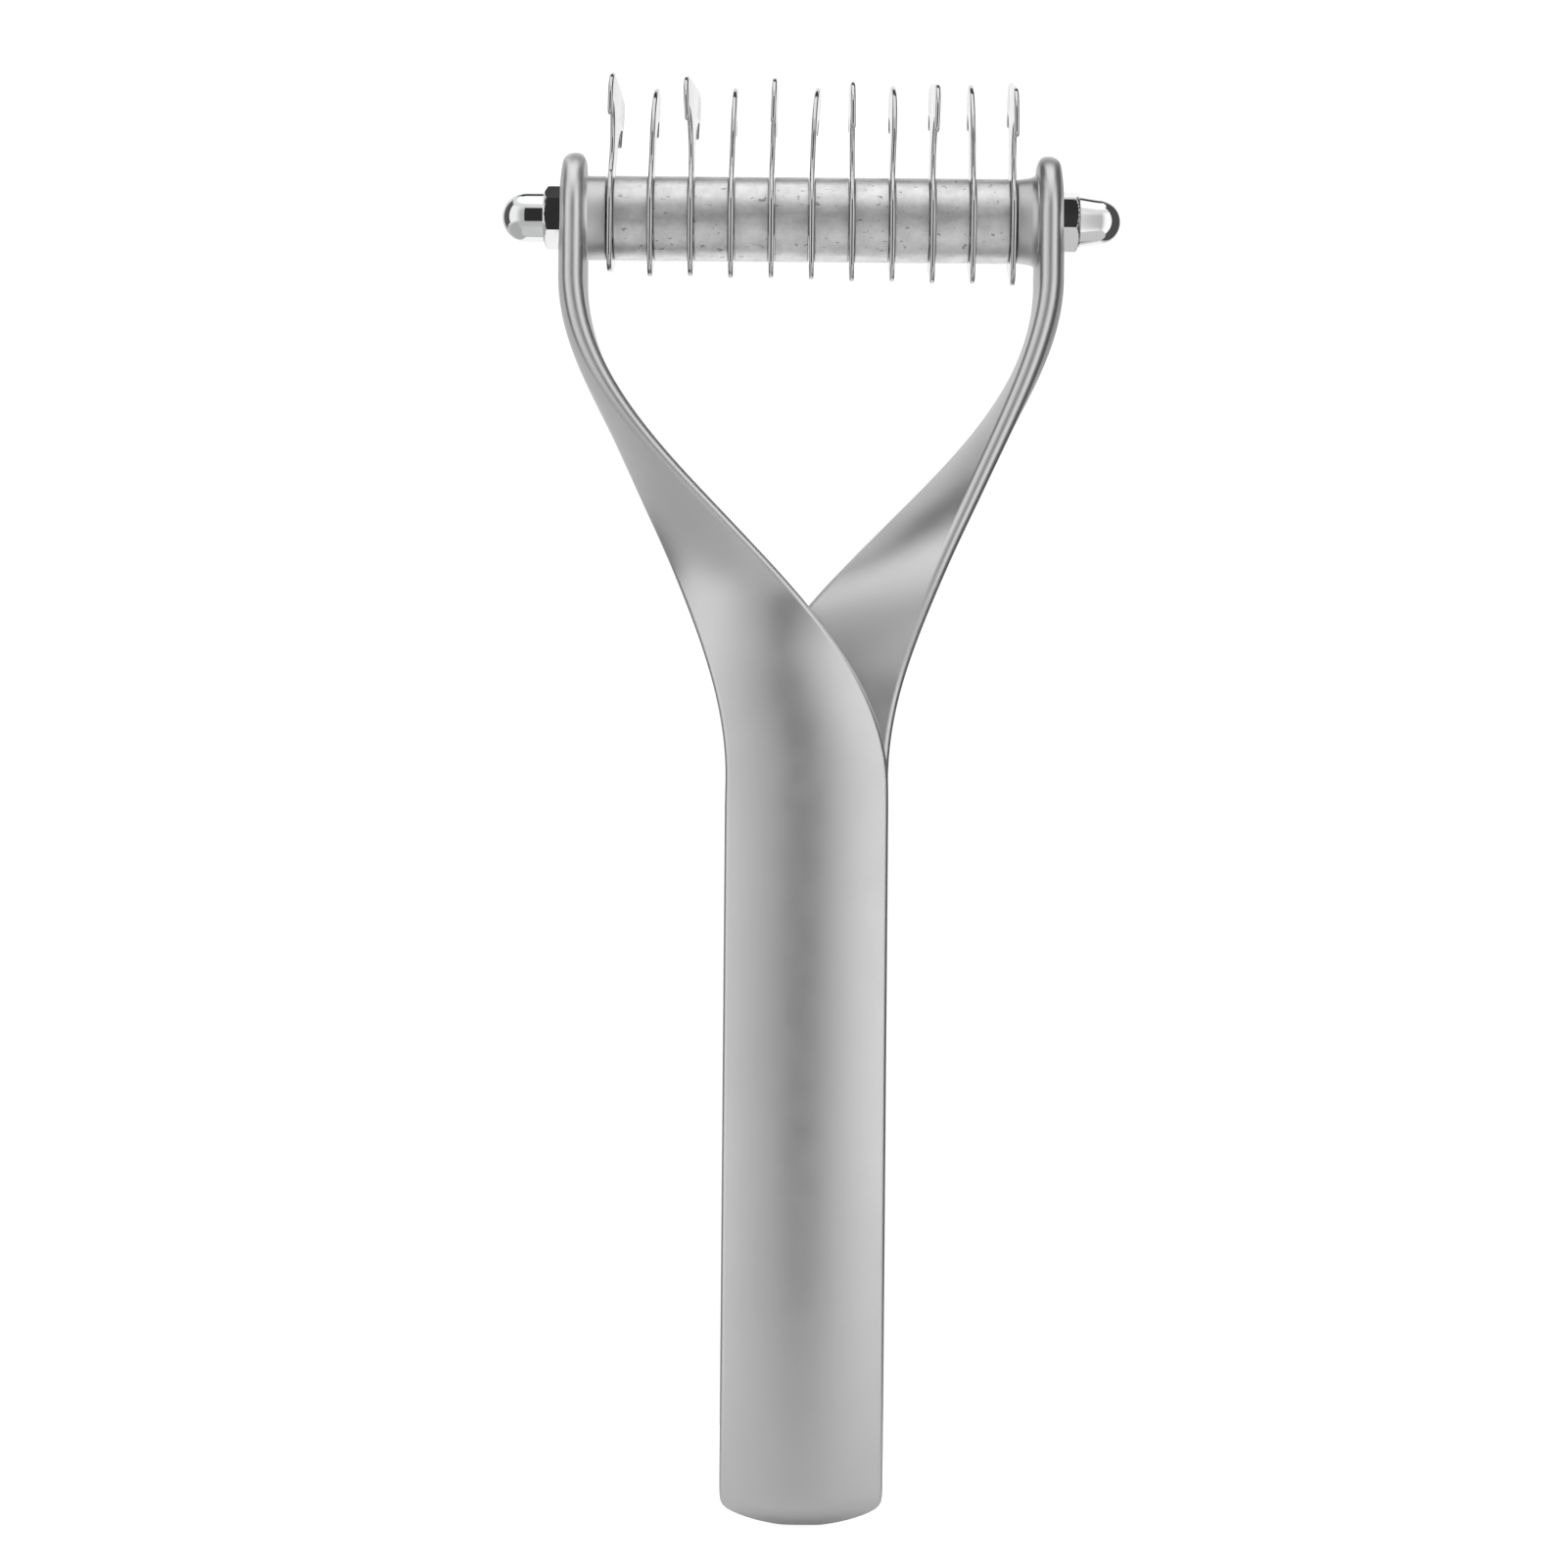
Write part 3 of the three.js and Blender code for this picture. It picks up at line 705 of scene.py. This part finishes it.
def build_comb():
    """All pieces of the comb; only the rod keeps its CAD shape."""
    satin = satin_plate()
    chrome = bright_chrome()
    steel = polished_sheet()
    tube = mill_tube()
    dress(make_handle(), satin, "satin_plated_casting", "frame", "handle_yoke")
    dress(make_nut(-1), chrome, "chrome_nut", "frame", "left_acorn_nut")
    dress(make_nut(1), chrome, "chrome_nut", "frame", "right_acorn_nut")
    for index, name in enumerate(BLADES):
        dress(make_blade(index), steel, "polished_stainless", name, name)
    for index, name in enumerate(SPACERS):
        dress(make_spacer(index), tube, "mill_finish_tube", "frame", name)
    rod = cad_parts["threaded_rod"]
    rod.data.materials.clear()
    rod.data.materials.append(zinc_rod())


def math_node(tree, operation, first, second=None):
    """Result of a Math node on sockets or numbers."""
    made = tree.nodes.new("ShaderNodeMath")
    made.operation = operation
    for socket, value in zip(made.inputs, (first, second)):
        if isinstance(value, (int, float)):
            socket.default_value = value
        elif value is not None:
            tree.links.new(value, socket)
    return made.outputs[0]


def build_floor():
    """White disc under the butt."""
    material, tree, shader = nodes_of("floor_white")
    shader.inputs["Roughness"].default_value = 0.9
    speck = noise(tree, 30)
    vary(tree, speck, [(0.2, 0.88), (0.8, 0.91)], shader.inputs["Base Color"])
    shader.inputs["Emission Color"].default_value = (1, 1, 1, 1)
    path = tree.nodes.new("ShaderNodeLightPath")
    glow = math_node(tree, "MULTIPLY", path.outputs["Is Camera Ray"], FLOOR_GLOW)
    tree.links.new(glow, shader.inputs["Emission Strength"])
    work = bmesh.new()
    bmesh.ops.create_circle(work, cap_ends=True, segments=ROUND_SIDES, radius=FLOOR_RADIUS)
    floor = finish_mesh(work, "floor")
    floor.location = FLOOR_PLACE
    floor.data.materials.append(material)


def band(tree, value, low, high, soft):
    """1 between low and high, falling to 0 over soft on each side."""
    edges = []
    for start, end in ((low - soft, low), (high + soft, high)):
        edge = tree.nodes.new("ShaderNodeMapRange")
        edge.interpolation_type = "SMOOTHSTEP"
        edge.inputs["From Min"].default_value = start
        edge.inputs["From Max"].default_value = end
        tree.links.new(value, edge.inputs["Value"])
        edges.append(edge.outputs[0])
    return math_node(tree, "MULTIPLY", edges[0], edges[1])


def room_light(tree):
    """Strength of the room's light from each direction: its level under the panels."""
    where = tree.nodes.new("ShaderNodeTexCoord")
    split = tree.nodes.new("ShaderNodeSeparateXYZ")
    tree.links.new(where.outputs["Generated"], split.inputs[0])
    # Degrees round the horizon, 0 on the comb's front side and positive to the right; degrees above
    front = math_node(tree, "MULTIPLY", split.outputs["Y"], -1)
    around = math_node(tree, "ARCTAN2", split.outputs["X"], front)
    around = math_node(tree, "MULTIPLY", around, 180 / math.pi)
    above = math_node(tree, "ARCSINE", split.outputs["Z"])
    above = math_node(tree, "MULTIPLY", above, 180 / math.pi)
    light = None
    for level, side_low, side_high, up_low, up_high, soft in ROOM_PANELS:
        beside = band(tree, around, side_low, side_high, soft)
        upright = band(tree, above, up_low, up_high, soft)
        mask = math_node(tree, "MULTIPLY", beside, upright)
        mix = tree.nodes.new("ShaderNodeMix")
        mix.data_type = "FLOAT"
        tree.links.new(mask, mix.inputs["Factor"])
        mix.inputs["B"].default_value = level
        if light is None:
            mix.inputs["A"].default_value = ROOM_LEVEL
        else:
            tree.links.new(light, mix.inputs["A"])
        light = mix.outputs["Result"]
    return light


def build_world():
    """White for the eye; for reflections and light, a soft room with lighter and darker panels."""
    world = bpy.data.worlds.new("studio")
    bpy.context.scene.world = world
    world.use_nodes = True
    tree = world.node_tree
    seen = tree.nodes["Background"]
    seen.inputs["Color"].default_value = (1, 1, 1, 1)
    seen.inputs["Strength"].default_value = BACKDROP_LEVEL
    room = tree.nodes.new("ShaderNodeBackground")
    room.inputs["Color"].default_value = (1, 1, 1, 1)
    tree.links.new(room_light(tree), room.inputs["Strength"])
    path = tree.nodes.new("ShaderNodeLightPath")
    choose = tree.nodes.new("ShaderNodeMixShader")
    tree.links.new(path.outputs["Is Camera Ray"], choose.inputs[0])
    tree.links.new(room.outputs[0], choose.inputs[1])
    tree.links.new(seen.outputs[0], choose.inputs[2])
    tree.links.new(choose.outputs[0], tree.nodes["World Output"].inputs["Surface"])


def build_camera():
    """Camera before the comb's front, level but for a slight roll."""
    data = bpy.data.cameras.new("camera")
    data.sensor_width = SENSOR
    data.lens = SENSOR * CAMERA_DISTANCE / PHOTO_WIDTH
    data.clip_start = CLIP_START
    camera = bpy.data.objects.new("camera", data)
    bpy.context.scene.collection.objects.link(camera)
    level = Matrix.Rotation(math.pi / 2, 4, "X")
    roll = Matrix.Rotation(math.radians(CAMERA_ROLL_DEG), 4, "Z")
    camera.matrix_world = Matrix.Translation((CAMERA_X, -CAMERA_DISTANCE, CAMERA_Z)) @ level @ roll
    bpy.context.scene.camera = camera


bpy.context.scene.view_settings.view_transform = "Standard"
build_comb()
build_floor()
build_world()
build_camera()
